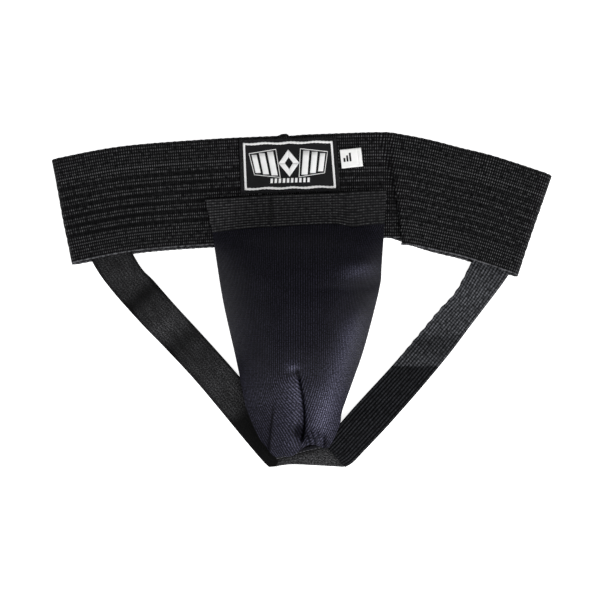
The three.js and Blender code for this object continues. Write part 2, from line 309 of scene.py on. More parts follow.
def wovenElastic(channel, start, name="woven polyester elastic"):
    # heavy woven elastic: matt black ground, grey filling threads that show as rows of short ticks;
    # the rows keep step with the channels, which are channel mm wide and counted from start; painted
    # shade from the tone attribute darkens the grooves, and the row that falls in a groove is lost in it
    look = bandLook
    rowPitch = channel / look["rowsPerChannel"]
    material, tree, shader = newMaterial(name, 0.85, 0.06, sheen=0.02)
    cloth, axes = clothAxes(tree)
    picks = stripes(tree, axes.outputs[0], look["pickPitch"], 2.2)
    phase = math.pi / 2 - 2 * math.pi * start / rowPitch
    rows = stripes(tree, axes.outputs[1], rowPitch, 1.0, phase)
    ticks = addNode(tree, "Math", {0: picks, 1: rows}, operation="MULTIPLY")
    patchy = speckle(tree, cloth, 2.6, 0.3, 0.7)
    lit = addNode(tree, "Math", {0: ticks, 1: patchy}, operation="MULTIPLY")
    # painted shade: the tone attribute darkens the ticks where the channels dip into grooves
    relief = addNode(tree, "Attribute", attribute_name="tone")
    crest = addNode(tree, "MapRange", {"Value": relief.outputs["Fac"], "From Min": 0.3})
    shown = addNode(tree, "Math", {0: lit, 1: crest}, operation="MULTIPLY")
    colour = blendColour(tree, shown, look["ground"], look["thread"])
    for where in look["seams"]:
        line = lineAt(tree, axes.outputs[1], where, 0.75)
        dots = addNode(tree, "Math", {0: line, 1: picks}, operation="MULTIPLY")
        faded = addNode(tree, "Math", {0: dots, 1: 0.8}, operation="MULTIPLY")
        colour = blendColour(tree, faded, colour, "#5c5c5e")
    edge = lineAt(tree, axes.outputs[1], look["selvedge"], 0.6)
    broken = addNode(tree, "Math", {0: edge, 1: patchy}, operation="MULTIPLY")
    colour = blendColour(tree, broken, colour, "#6c6c70")
    tree.links.new(colour, shader.inputs["Base Color"])
    dent(tree, shader, ticks, 0.35)
    return material


def ribbedElastic(name, ground, thread, paleWeaveAndLight, pitch, tick):
    # narrow ribbed elastic: rounded cords of rubber under polyester, lit along their crests; pitch
    # and tick are the spacings of the cords and of the threads across them, mm
    material, tree, shader = newMaterial(name, 0.78, 0.08, sheen=0.03)
    cloth, axes = clothAxes(tree)
    crest = stripes(tree, axes.outputs[1], pitch, 2.2, -math.pi / 2)
    picks = stripes(tree, axes.outputs[0], tick, 0.8)
    patchy = speckle(tree, cloth, 1.5, 0.34, 0.64, (0.6, 1, 1))
    ladder = addNode(tree, "Math", {0: picks, 1: 0.65, 2: 0.35}, operation="MULTIPLY_ADD")
    worn = addNode(tree, "Math", {0: patchy, 1: 0.8, 2: 0.2}, operation="MULTIPLY_ADD")
    ticks = addNode(tree, "Math", {0: ladder, 1: worn}, operation="MULTIPLY")
    lit = addNode(tree, "Math", {0: ticks, 1: crest}, operation="MULTIPLY")
    base = blendColour(tree, lit, ground, thread)
    ridge = addNode(tree, "Math", {0: crest, 1: 0.65, 2: 0.35}, operation="MULTIPLY_ADD")
    bright = addNode(tree, "Math", {0: ticks, 1: ridge}, operation="MULTIPLY")
    # tone mixes towards the pale colour: painted light on the right strap's upper stretch, and the
    # smoother, paler weave at the mouth's left end and middle
    pale = blendColour(tree, bright, ground, paleWeaveAndLight)
    tone = addNode(tree, "Attribute", attribute_name="tone")
    colour = blendColour(tree, tone.outputs["Fac"], base, pale)
    tree.links.new(colour, shader.inputs["Base Color"])
    height = addNode(tree, "Math", {0: crest, 1: ticks}, operation="ADD")
    dent(tree, shader, height, 0.22)
    return material


def brushedElastic(name="plush-back elastic"):
    # the soft side of elastic: short brushed pile in two greys, so it looks heathered
    material, tree, shader = newMaterial(name, 0.85, 0.06, sheen=0.06, sheenRoughness=0.5)
    cloth, axes = clothAxes(tree)
    fine = speckle(tree, cloth, 0.8, 0.4, 0.64)
    coarse = speckle(tree, cloth, 4.0, 0.32, 0.68, (0.4, 1, 1))
    cords = stripes(tree, axes.outputs[1], 2.1, 1.0)
    faint = addNode(tree, "Math", {0: cords, 1: 0.3, 2: 0.4}, operation="MULTIPLY_ADD")
    pile = addNode(tree, "Math", {0: fine, 1: faint}, operation="MULTIPLY")
    cloud = addNode(tree, "Math", {0: coarse, 1: 0.5, 2: 0.6}, operation="MULTIPLY_ADD")
    lit = addNode(tree, "Math", {0: pile, 1: cloud}, operation="MULTIPLY")
    light = blendColour(tree, lit, "#101011", "#7c7c7f")
    # painted shade: the tone attribute mixes these lit colours into a shaded copy of them
    shaded = blendColour(tree, lit, "#030303", "#1a1a1b")
    tone = addNode(tree, "Attribute", attribute_name="tone")
    final = blendColour(tree, tone.outputs["Fac"], light, shaded)
    tree.links.new(final, shader.inputs["Base Color"])
    dent(tree, shader, fine, 0.18)
    return material


knitLook = {
    "walePitch": 1.72,  # mm, 1.4 on the real one and coarser here to show
    "coursePitch": 1.5,
    "fleck": 0.95,
    "plain": ("#010101", "#292835"),
    # the lit copy of the colours that the tone mixes in as painted sheen
    "paintedSheen": ("#08080c", "#8584a0"),
}


def ribKnit(name="polyester rib jersey"):
    # fine jersey, dark navy: smooth filament yarn, with painted sheen mixed in by the tone attribute as a
    # lit copy of its colours
    look = knitLook
    material, tree, shader = newMaterial(name, 0.58, 0.05, 0.07, 0.22, "#8f8db0")
    cloth, axes = clothAxes(tree)
    wales = stripes(tree, axes.outputs[0], look["walePitch"], 1.9)
    courses = stripes(tree, axes.outputs[1], look["coursePitch"], 0.8)
    loops = addNode(tree, "Math", {0: courses, 1: 0.35, 2: 0.65}, operation="MULTIPLY_ADD")
    ribs = addNode(tree, "Math", {0: wales, 1: loops}, operation="MULTIPLY")
    specks = speckle(tree, cloth, look["fleck"], 0.38, 0.62)
    grainy = addNode(tree, "Math", {0: ribs, 1: 0.85, 2: 0.15}, operation="MULTIPLY_ADD")
    fleck = addNode(tree, "Math", {0: specks, 1: 0.88, 2: 0.12}, operation="MULTIPLY_ADD")
    lit = addNode(tree, "Math", {0: grainy, 1: fleck}, operation="MULTIPLY")
    plain = blendColour(tree, lit, *look["plain"])
    paintedSheen = blendColour(tree, lit, *look["paintedSheen"])
    tone = addNode(tree, "Attribute", attribute_name="tone")
    colour = blendColour(tree, tone.outputs["Fac"], plain, paintedSheen)
    tree.links.new(colour, shader.inputs["Base Color"])
    dent(tree, shader, ribs, 0.25)
    return material


def meshLining(name="cotton tricot lining"):
    # plain tricot in black: matt, with a faint diagonal knit
    material, tree, shader = newMaterial(name, 0.9, 0.1, sheen=0.08)
    cloth, axes = clothAxes(tree)
    both = addNode(tree, "Math", {0: axes.outputs[0], 1: axes.outputs[1]}, operation="ADD")
    apart = addNode(tree, "Math", {0: axes.outputs[0], 1: axes.outputs[1]}, operation="SUBTRACT")
    one = stripes(tree, both, 2.2, 1.0)
    other = stripes(tree, apart, 2.2, 1.0)
    knit = addNode(tree, "Math", {0: one, 1: other}, operation="MULTIPLY")
    specks = speckle(tree, cloth, 1.2, 0.35, 0.7)
    base = blendColour(tree, knit, "#101013", "#24242a")
    colour = blendColour(tree, specks, base, "#1a1a1e")
    tree.links.new(colour, shader.inputs["Base Color"])
    dent(tree, shader, knit, 0.25)
    return material


def damask(name, low, high, roughness, specular, pitch=0.55):
    # woven label damask: fine filling threads in one direction, so it shines a little in bands
    material, tree, shader = newMaterial(name, roughness, specular, sheen=0.1)
    cloth, axes = clothAxes(tree)
    threads = stripes(tree, axes.outputs[1], pitch, 1.0)
    patchy = speckle(tree, cloth, 5.0, 0.3, 0.7, (0.4, 1, 1))
    share = addNode(tree, "Math", {0: threads, 1: patchy}, operation="MULTIPLY")
    colour = blendColour(tree, share, low, high)
    tree.links.new(colour, shader.inputs["Base Color"])
    dent(tree, shader, threads, 0.08)
    return material


def plyThread(name, low, high):
    # bonded polyester sewing thread: two plies twisted, slightly glossy
    material, tree, shader = newMaterial(name, 0.55, 0.25)
    where = addNode(tree, "TexCoord").outputs["Object"]
    plies = addNode(tree, "TexNoise", {"Vector": where, "Scale": 1 / (0.6 * mm), "Detail": 1.0})
    colour = blendColour(tree, plies, low, high)
    tree.links.new(colour, shader.inputs["Base Color"])
    dent(tree, shader, plies, 0.08)
    return material


def mouldedPlastic(name="moulded polypropylene"):
    # injection-moulded polypropylene: waxy off-white, fine spark-eroded grain, scuffs on the crown
    material, tree, shader = newMaterial(name, 0.42, 0.45)
    shader.inputs["IOR"].default_value = 1.49
    where = addNode(tree, "TexCoord").outputs["Object"]
    grit = addNode(tree, "TexNoise", {"Vector": where, "Scale": 1 / (0.7 * mm), "Detail": 3.0})
    cloud = addNode(tree, "TexNoise", {"Vector": where, "Scale": 1 / (30 * mm), "Detail": 3.0})
    colour = blendColour(tree, cloud, "#cfcfc8", "#e2e2dc")
    tree.links.new(colour, shader.inputs["Base Color"])
    shine = addNode(tree, "MapRange", {"Value": cloud, "To Min": 0.34, "To Max": 0.52})
    tree.links.new(shine.outputs[0], shader.inputs["Roughness"])
    dent(tree, shader, grit, 0.05)
    return material


def foamRubber(name="skinned foam rubber"):
    # soft closed-cell rubber: matt charcoal with a faint pebble
    material, tree, shader = newMaterial(name, 0.7, 0.3)
    where = addNode(tree, "TexCoord").outputs["Object"]
    pebble = addNode(tree, "TexVoronoi", {"Vector": where, "Scale": 1 / (1.1 * mm)})
    cloud = addNode(tree, "TexNoise", {"Vector": where, "Scale": 1 / (12 * mm)})
    colour = blendColour(tree, cloud, "#232326", "#303034")
    tree.links.new(colour, shader.inputs["Base Color"])
    dent(tree, shader, pebble, 0.09)
    return material


strapPlush = brushedElastic()
navyKnit = ribKnit()
blackTricot = meshLining()
labelBlack = damask("black damask", "#08080a", "#1b1b1f", 0.5, 0.14)
labelWhite = damask("white damask yarn", "#ededed", "#ffffff", 0.7, 0.3, 0.7)
tapeWhite = damask("white satin tape", "#f2f2f0", "#ffffff", 0.6, 0.4, 0.5)
markBlack = damask("black print", "#121212", "#1c1c1c", 0.7, 0.2)
blackThread = plyThread("black sewing thread", "#0b0b0c", "#2b2b2d")
# near-black: the left bartack's thread with the painted shade beside it
tackThreadAndShade = plyThread("black bartack thread and shade", "#020202", "#0b0b0c")
greyThread = plyThread("pale grey sewing thread", "#2a2a2c", "#6c6c70")
cupPlastic = mouldedPlastic()
cushionRubber = foamRubber()
print("materials ready")

# waistband: one strip of elastic, flattened into a loop, its ends lapped behind the label
band = {
    "height": 75, "thick": 1.7, "stack": 11.3, "backDrop": 1.8,
    "lapEnd": -6, "lapStart": -30, "lapRamp": 9, "lapDrop": 2.1,
    "start": -170,
    "line": [(-170, 62.5), (-122, 71.4), (-61, 76.3), (0, 79.2), (45, 80.6), (79.8, 77.3),
             (104.4, 71.1), (128.3, 65.1), (166, 52.6)],
    # the front layer is tucked over itself where it turns down: a left part, and a right part on it
    "leftPart": [(-170, 62.5), (-122, 71.4), (-61, 76.3), (0, 79.2), (45, 80.9), (66, 81.1), (92, 81.3)],
    "rightPart": [(54.9, 81.9), (79.8, 77.3), (104.4, 71.1), (128.3, 65.1), (166, 52.6)],
    "tuckFrom": 59, "tuckShort": 9.9, "tuckSlant": 24.5, "tuckLayer": 1.75,
    "tuckBend": (4.5, 1.2),  # mm of band that the bend takes at the top and at the bottom edge
    "tuckSag": 2.0, "tuckSagLong": 14,
    "backRaise": 4.2, "backRaiseAt": 60, "backRaiseLong": 21,
    "topBorder": 16, "bottomBorder": 12, "channels": 7, "relief": 0.36,
    # rows of mesh across the bottom border, each channel and the top border: a row lies in every groove
    "rows": (13, 8, 15),
    "paintedGrooveShade": (0.78, 0.5),  # how much painted shade darkens the grooves left and right of the tuck
}
bandRows = band["rows"][0] + band["rows"][1] * band["channels"] + band["rows"][2]
channelStart = band["bottomBorder"] - band["height"] / 2
channelEnd = band["height"] / 2 - band["topBorder"]
wovenBlack = wovenElastic((channelEnd - channelStart) / band["channels"], channelStart)
bandMiddle, bandLength = smoothLine(band["line"])
bandLeft, leftPartLength = smoothLine(band["leftPart"])
bandRight = smoothLine(band["rightPart"])[0]


def offLine(line, share, height, level):
    middle, way = line(share), heading(line, share)
    return np.stack([middle[:, 0] - way[:, 1] * height, middle[:, 1] + way[:, 0] * height, level], -1)


def tuckAt(across):
    # the wedge of front layer folded away under the right part: none at the top edge, most at the
    # bottom; where it starts, where the fold on top of it lies, and how far down the band this is
    low = np.clip(0.5 - across / band["height"], 0, 1)
    return band["tuckFrom"] + band["tuckShort"] * low, band["tuckFrom"] + band["tuckSlant"] * low, low


def onBand(distance, across, level):
    height = across - band["backDrop"] * (1 - np.clip(level / band["stack"], 0, 1))
    start, crease, low = tuckAt(across)
    hidden = band["backRaise"] * hump(distance, band["backRaiseAt"], band["backRaiseLong"]) * low
    back = offLine(bandMiddle, (distance - band["start"]) / bandLength, height + hidden, level)
    turned = (start + crease) / 2
    leftShare = (np.minimum(distance, turned) - band["start"]) / leftPartLength
    left = offLine(bandLeft, leftShare, height, level)
    rest = bandLength + band["start"] - band["tuckFrom"]
    beyond = np.abs(distance - crease)
    sag = band["tuckSag"] * low * np.exp(-beyond / band["tuckSagLong"])
    right = offLine(bandRight, (crease + beyond - band["tuckFrom"]) / rest, height - sag, level)
    bend = band["tuckBend"][0] + (band["tuckBend"][1] - band["tuckBend"][0]) * low
    over = ramp((distance - turned) / bend, -1, 1)[:, None]
    front = ramp(level, 4, 8)[:, None]
    return back + ((left + (right - left) * over) - back) * front


def bandPath():
    # the strip seen end on: from its outer end left, round the back and under that end again
    half = 0.9
    radius = band["stack"] / 2 - half
    left = band["start"] + band["stack"] / 2
    right = band["start"] + bandLength - band["stack"] / 2
    front = band["stack"] - half
    under = front - band["lapDrop"]
    arc = [math.pi * i / 16 for i in range(17)]
    points = [(band["lapEnd"], front)]
    points += [(left - radius * math.sin(a), band["stack"] / 2 + radius * math.cos(a)) for a in arc]
    points += [(right + radius * math.sin(a), band["stack"] / 2 - radius * math.cos(a)) for a in arc]
    lap = band["lapEnd"] + 1
    points += [(lap + band["lapRamp"], front), (lap, under), (band["lapStart"], under)]
    return evenLine(points)


def channelRelief(across):
    # 0 in a groove to 1 on a crest: flat borders, rounded channels between them
    share = np.clip((across - channelStart) / (channelEnd - channelStart), 0, 1)
    crest = np.abs(np.sin(share * band["channels"] * math.pi)) ** 0.5
    return np.where((across > channelEnd) | (across < channelStart), 0.8, crest)


def bandSpot(along, across):
    path, length = bandPath()
    spot, way = path(along), heading(path, along)
    marks = [0, band["rows"][0] / bandRows, 1 - band["rows"][2] / bandRows, 1]
    edges = [-band["height"] / 2, channelStart, channelEnd, band["height"] / 2]
    height = np.interp(across, marks, edges)
    flat = height
    distance, level = spot[:, 0], spot[:, 1]
    front = ramp(level, 6, 10)
    crest = channelRelief(height)
    lift = (crest - 0.6) * band["relief"]
    lift += grain(distance, height, 38, 3.0) * 0.5
    lift += grain(distance, height, 7, 8.0) * 0.08
    # the tuck's two hidden layers lift the right part, which settles again further on
    start, crease, low = tuckAt(height)
    turned = (start + crease) / 2
    folded = ramp(distance - turned, -1.2, 1.2) + ramp(distance - crease, -1.6, 0.6)
    settle = np.exp(-np.maximum(distance - crease - 4, 0) / 22)
    level = level + front * band["tuckLayer"] * folded * settle * ramp(low, 0.02, 0.35)
    # edges: scallops where the filling threads turn, and the raised corner of the outer end
    edge = ramp(np.abs(height), band["height"] / 2 - 1.5, band["height"] / 2)
    height = height + np.sign(height) * edge * 0.14 * np.sin(distance * 2 * math.pi / 2.7)
    end = ramp(distance, -13.5, -11) * (1 - ramp(distance, -7, -5.5)) * front * (along < 0.5)
    height = height + end * 1.2 * ramp(height, 30, 37)
    places = onBand(distance + way[:, 1] * lift, height, level - way[:, 0] * lift)
    # painted shade in the grooves, stronger left of the tuck, returned as the tone
    left, right = band["paintedGrooveShade"]
    dark = (left + (right - left) * ramp(distance, 20, 70)) * (1 + 0.35 * grain(distance, flat, 26, 14.0))
    return places, np.stack([along * length, flat], -1), 1 - (1 - crest) * np.clip(dark, 0, 1)


waistband = layCloth("waistband_elastic", 420, bandRows, bandSpot, band["thick"], wovenBlack)
bandStrip = bandPath()[1]
print("waistband laid:", round(bandStrip), "mm of elastic")

# woven label on the waistband's face: black damask with a white frame and a plain geometric device
label = {
    "size": (70, 38.5), "thick": 0.5, "level": 12.0,
    "frame": (64.5, 33.2), "frameWidth": 1.5, "raise": 0.38, "sewingIn": 1.1,
    # where the frame's corners lie, from the lower left one round to the upper left one
    "corners": [(-39.8, 77.4), (24.8, 79.1), (22.2, 112.4), (-41.1, 110.7)],
}


def onLabel(x, y, up=0.0):
    # x and y count from the middle of the label; the patch is a little out of square
    u = np.asarray(x, float) / label["frame"][0] + 0.5
    v = np.asarray(y, float) / label["frame"][1] + 0.5
    a, b, c, d = (np.array(corner, float) for corner in label["corners"])
    u, v = (np.asarray(share)[..., None] for share in np.broadcast_arrays(u, v))
    spot = (a * (1 - u) + b * u) * (1 - v) + (d * (1 - u) + c * u) * v
    px, py = spot[..., 0], spot[..., 1]
    level = label["level"] + 0.35 * np.sin(px / 9.0 + 1.5) + 0.18 * np.sin(py / 6.5 + px / 17.0) + up
    return np.stack([px, py, level], -1)


def labelSpot(along, across):
    x = (along - 0.5) * label["size"][0]
    y = (across - 0.5) * label["size"][1]
    ragged = 0.35 * np.sin(x * 0.9) * ramp(np.abs(y), 17, 19.25) * np.sign(y)
    return onLabel(x, y + ragged), np.stack([x, y], -1), 0.0


def rectangle(halfWide, halfHigh):
    signs = [(-1, -1), (1, -1), (1, 1), (-1, 1), (-1, -1)]
    return evenLine([(halfWide * i, halfHigh * j) for i, j in signs])


def frameSpot(along, across):
    w, h = label["frame"][0] / 2, label["frame"][1] / 2
    line, length = rectangle(w, h)
    spot = line(along)
    inner = 1 - label["frameWidth"] / h
    x, y = spot[:, 0], spot[:, 1]
    wobble = 0.3 * np.sin(x * 0.33 + 1.0) * (np.abs(y) > h - 0.1) + 0.12 * np.sin((x + y) * 2.4)
    shareIn = np.where(across > 0.5, 1.0, 0.0)
    x = x - np.sign(x) * shareIn * np.minimum(label["frameWidth"], np.abs(x) * (1 - inner) * 9)
    y = y - np.sign(y) * shareIn * np.minimum(label["frameWidth"], np.abs(y) * (1 - inner) * 9) + wobble
    return onLabel(x, y, label["raise"]), np.stack([along * length, across * 3], -1), 0.0


def outlined(corners, gap, width):
    # the quads of a thin outline round a convex shape, gap mm outside it
    shape = np.array(corners, float)
    middle = shape.mean(axis=0)
    reach = np.abs(shape - middle).max(axis=0)
    near = middle + (shape - middle) * (1 + gap / reach)
    far = middle + (shape - middle) * (1 + (gap + width) / reach)
    count = len(corners)
    return [[near[i], near[(i + 1) % count], far[(i + 1) % count], far[i]] for i in range(count)]


def slantedBar(x, wide, low, high, lean):
    left, right = x - wide / 2, x + wide / 2
    return [(left, low), (right, low), (right + lean, high), (left + lean, high)]


def deviceShapes():
    # a hollow lozenge between slanted bars, over a row of ticks: plain geometry, no letters
    shapes = []
    for side in (-1, 1):
        for i, (x, wide, tall) in enumerate([(10.6, 4.4, 8.4), (16.6, 4.1, 7.5), (22.2, 3.7, 6.4)]):
            shapes.append(slantedBar(side * x, wide, 1.6 - tall, 1.6 + tall, side * 2.4))
        block = [(side * 7.4, -7.6), (side * 24.4, -5.4), (side * 27.4, 8.4), (side * 9.4, 10.8)]
        shapes += outlined(block if side > 0 else block[::-1], 0.5, 0.5)
    lozenge = [(0, -8.0), (7.4, 1.6), (0, 11.2), (-7.4, 1.6)]
    heart = [(0, -2.6), (2.9, 1.6), (0, 5.8), (-2.9, 1.6)]
    for i in range(4):
        j = (i + 1) % 4
        shapes.append([lozenge[i], lozenge[j], heart[j], heart[i]])
    for i in range(10):
        shapes.append(slantedBar((i - 4.5) * 2.9, 1.7, -12.2, -9.0, 0.35))
    return shapes


def flatShapes(name, shapes, onto, up, thick, material):
    bm = bmesh.new()
    for corners in shapes:
        outline = [bm.verts.new((x, y, 0)) for x, y in corners]
        bm.faces.new(outline)
    bmesh.ops.recalc_face_normals(bm, faces=bm.faces)
    bmesh.ops.subdivide_edges(bm, edges=bm.edges, cuts=3, use_grid_fill=True)
    piece = finishMesh(name, bm, material)
    flat = getVerts(piece.data)
    setVerts(piece.data, drawing(onto(flat[:, 0], flat[:, 1], up)))
    setCloth(piece.data, flat[:, :2])
    setTone(piece.data, np.zeros(len(flat)))
    addWall(piece, thick)
    return piece


labelBase = layCloth("woven_label_ground", 70, 40, labelSpot, label["thick"], labelBlack)
labelFrame = layCloth("woven_label_frame", 240, 1, frameSpot, 0.25, labelWhite)
labelDevice = flatShapes("woven_label_device", deviceShapes(), onLabel, 0.36, 0.22, labelWhite)
rimLine = rectangle(*(size / 2 - label["sewingIn"] for size in label["size"]))[0]
rimSpots = rimLine(np.linspace(0, 1, 160))
labelSewing = sewRow("label_lockstitch", [onLabel(rimSpots[:, 0], rimSpots[:, 1], 0.32)], blackThread,
                     long=2.4, gap=0.8)

# size tag: satin tape folded into a flat loop, sewn down at its left edge
tag = {
    "hinge": (26.9, 99.1), "turn": 0.105, "long": 16.2, "wide": 13.2, "level": 11.9, "open": 0.9,
    "thick": 0.26, "root": 1.3,
}


def onTag(x, y, level):
    c, s = math.cos(tag["turn"]), math.sin(tag["turn"])
    px = tag["hinge"][0] + x * c - y * s
    py = tag["hinge"][1] + x * s + y * c
    return np.stack(np.broadcast_arrays(px, py, level), -1)


def tagPath():
    r = tag["open"] / 2
    low = tag["level"]
    points = [(tag["root"], low + 0.15), (3.0, low), (tag["long"] - r, low)]
    points += [(tag["long"] - r + r * math.sin(math.pi * i / 8), low + r - r * math.cos(math.pi * i / 8))
               for i in range(1, 9)]
    crease = tag["long"] - 2.6  # where the ironed fold ends, a shallow line across the tape
    points += [(crease + 0.5, low + 2 * r), (crease, low + 2 * r - 0.4), (crease - 0.5, low + 2 * r + 0.1),
               (tag["long"] * 0.5, low + 2 * r + 0.35), (tag["root"], low + 0.55)]
    return evenLine(points)


def tagSpot(along, across):
    path, length = tagPath()
    spot = path(along)
    y = (across - 0.5) * tag["wide"]
    return onTag(spot[:, 0], y, spot[:, 1]), np.stack([along * length, y], -1), 0.0


sizeTag = layCloth("size_tag_tape", 110, 14, tagSpot, tag["thick"], tapeWhite)


def onTagTop(x, y, up):
    path, length = tagPath()
    top = path(np.linspace(0.55, 1, 60))[::-1]
    return onTag(x, y, np.interp(x, top[:, 0], top[:, 1]) + up)


bars = [slantedBar(3.8 + i * 2.1, 1.35, -2.2, 0.6 + i * 1.6, 0) for i in range(3)]
tagMark = flatShapes("size_tag_mark", bars, onTagTop, 0.17, 0.08, markBlack)
print("label and tag sewn on")

# pouch: the back panel lies flat, the knit front rises over the cup
pouch = {
    "topLevel": 12.5, "toeLevel": 4.3, "topY": 40, "toeY": -105, "crown": 2.8,
    "knit": 1.1, "lining": 0.9, "gap": 0.3,
    "left": [(-62.8, 52), (-62.2, 47.4), (-60.3, 34), (-54.7, -1), (-46.9, -36), (-42.6, -56),
             (-38.3, -77), (-32.4, -92.5), (-26.6, -102.3), (-18.2, -111.6)],
    "right": [(59.3, 58), (58.8, 53.4), (58.0, 43), (56.6, 23), (55.9, 12), (51.6, -7), (43.8, -36),
              (36.7, -56.5), (29.0, -78.5), (27.6, -87), (23.8, -97), (19.6, -103.6)],
    "rise": [(-113, 2.5), (-105, 4), (-90, 8), (-75, 14.5), (-60, 26), (-36, 39), (-12, 42), (0, 41.3),
             (20, 36.8), (35, 27.5), (44, 17), (50, 9), (56, 5), (66, 2.5), (80, 1.5)],
    "dart": [(-1.9, -51), (-1.2, -56), (1.3, -70), (2.4, -85), (1.7, -95), (-0.6, -104)],
    "leanLeft": 0.54, "leanRight": 0.44,  # how far the wales turn into the slit, radians
    # pulls and dents over the cup's rim: height, then the middle and reach in x and in y
    "dents": [(-4.6, 47, 13, 8.5, 4.8), (-1.3, 24, 18, 7.5, 4.0), (2.2, 42, 11, 21, 6),
              (-0.9, 40, 12, 34, 5), (-0.9, -30, 14, 26, 6)],
    # how the toe's edge rises and falls: mm, then the middle and reach as shares of its width
    "toeEdge": [(3.8, 0.64, 0.2), (-1.6, 0.3, 0.13), (-1.7, 0.93, 0.08)],
}
pouchSlope = (pouch["topLevel"] - pouch["toeLevel"]) / (pouch["topY"] - pouch["toeY"])
pouchLeft = smoothLine(pouch["left"])[0]
pouchRight = smoothLine(pouch["right"])[0]
riseLine = smoothLine(pouch["rise"])[0](np.linspace(0, 1, 400))
dartLine = smoothLine(pouch["dart"])[0](np.linspace(0, 1, 200))[::-1]
pouchTilt = math.atan(pouchSlope)


def backLevel(y):
    return pouch["topLevel"] - pouchSlope * np.maximum(0, pouch["topY"] - y)


def riseAt(y):
    return np.interp(y, riseLine[:, 0], riseLine[:, 1])


def frontLevel(x, y, across):
    crown = 1 - np.abs(2 * np.clip(across, 0, 1) - 1) ** pouch["crown"]
    return backLevel(y) + pouch["gap"] + riseAt(y) * crown


def dartAt(y):
    return np.interp(y, dartLine[:, 1], dartLine[:, 0])


def besideFold(x, y):
    # mm to the right of the fold beside the toe's left corner
    return x + 21.8 - 0.11 * (y + 98)


def besideRidge(x, y):
    # mm to the right of a line that leans with the cup's right side
    return x - 0.33 * (y + 36)


def knitShape(x, y, across):
    # everything that the plain dome lacks, mm up or down
    off = x - dartAt(y)
    inDart = ramp(-y, 51.5, 56) * (1 - ramp(-y, 97, 102))
    depth = 3.0 + 2.4 * ramp(-y, 58, 90)
    change = -inDart * depth * np.exp(-(np.abs(off) / 1.15) ** 1.6)
    change -= inDart * 1.5 * hump(off, 0, 4.0)
    # the two lips: the left one is the fuller and rolls under at the bottom
    full = ramp(-y, 52, 88)
    change += full * (1 - ramp(-y, 108, 116)) * (0.8 + 2.4 * full) * hump(off, -7.5, 6.5)
    change += full * (1 - ramp(-y, 98, 106)) * 1.6 * hump(off, 8.5, 6.0)
    change -= 3.0 * hump(off, -3.2, 3.0) * hump(y, -93, 5.5)
    # the nub of knit above the slit
    change += 2.1 * hump(x, -5.2, 4.6) * hump(y, -47.2, 3.2)
    change -= 1.4 * hump(x, -2.9, 1.5) * hump(y, -50.4, 1.8)
    for height, middleX, reachX, middleY, reachY in pouch["dents"]:
        change += height * hump(x, middleX, reachX) * hump(y, middleY, reachY)
    change += 2.0 * hump(besideRidge(x, y), 31, 5.5) * ramp(-y, -2, 16) * (1 - ramp(-y, 72, 92))
    # the fold beside the toe's left corner: the flap left of it lies lower
    fold = besideFold(x, y)
    change -= ramp(-y, 66, 92) * (1.5 * (1 - ramp(fold, -1.6, 1.0)) + 2.0 * hump(fold, 0, 1.1))
    change += ramp(-y, 84, 98) * 1.0 * hump(fold, 3.2, 2.6)
    # gathers on the right of the slit, tight at the hem, and the flap beyond them
    gather = ramp(-y, 88, 97) * ramp(x, 2.5, 5) * (1 - ramp(x, 14, 16))
    change += gather * 1.2 * np.sin(x * 1.75 + y * 0.5) + gather * 0.8
    change -= ramp(-y, 90, 98) * 2.4 * hump(x, 15.8, 1.3)
    change += 0.22 * grain(x, y, 9, 11.0) + 0.35 * grain(x, y, 24, 12.0)
    return change * (1 - np.abs(2 * across - 1) ** 8)


def paintedKnitLight(x, y):
    # painted light and shade, from 0 to 1: sheen and highlights on the flanks, the lips, the nub and the
    # lower knit, painted shade in the slit, the fold and the hollows, and a little random tone
    off = x - dartAt(y)
    # painted sheen: brighter towards the toe, with highlights on the upper right, the ridge, the lips and
    # the nub
    tone = 0.2 * ramp(-y, 36, 88) + 0.03 * ramp(-y, -20, 30)
    tone = tone + 0.42 * hump(x, 40, 11) * hump(y - 0.15 * (x - 39), 20, 4.5)
    tone = tone + 0.42 * hump(besideRidge(x, y), 31, 8) * ramp(-y, 2, 26) * (1 - ramp(-y, 84, 100))
    tone = tone + 0.26 * hump(off, -6.5, 6) * ramp(-y, 52, 62) * (1 - ramp(-y, 98, 110))
    tone = tone + 0.22 * hump(off, 13, 9) * ramp(-y, 58, 76) * (1 - ramp(-y, 99, 106))
    tone = tone + 0.55 * hump(x, -5.6, 4.4) * hump(y, -47.2, 3.0)
    # painted shade below the nub, in the hollow at the lip's foot, beside the gathers, along the fold and
    # in the slit
    tone = tone - 0.4 * hump(x, -2.8, 1.4) * hump(y, -50.4, 1.8)
    tone = tone + 0.2 * hump(off, -3.0, 2.4) * ramp(-y, 52, 55) * (1 - ramp(-y, 70, 84))
    tone = tone - 0.7 * hump(off, -4.4, 4.2) * hump(y, -93, 5.5)
    tone = tone - 0.3 * hump(x, 17.5, 2.4) * hump(y, -101, 4.5)
    fold = besideFold(x, y)
    tone = tone - ramp(-y, 62, 92) * (0.13 * (1 - ramp(fold, -2, 1)) + 0.3 * hump(fold, 0, 1.2))
    tone = tone - 0.8 * inSlit(x, y)
    return np.clip(tone + 0.03 * grain(x, y, 12, 6.0), 0, 1)


def inSlit(x, y):
    return hump(x - dartAt(y), 0, 1.0) * ramp(-y, 52, 55) * (1 - ramp(-y, 97, 102))


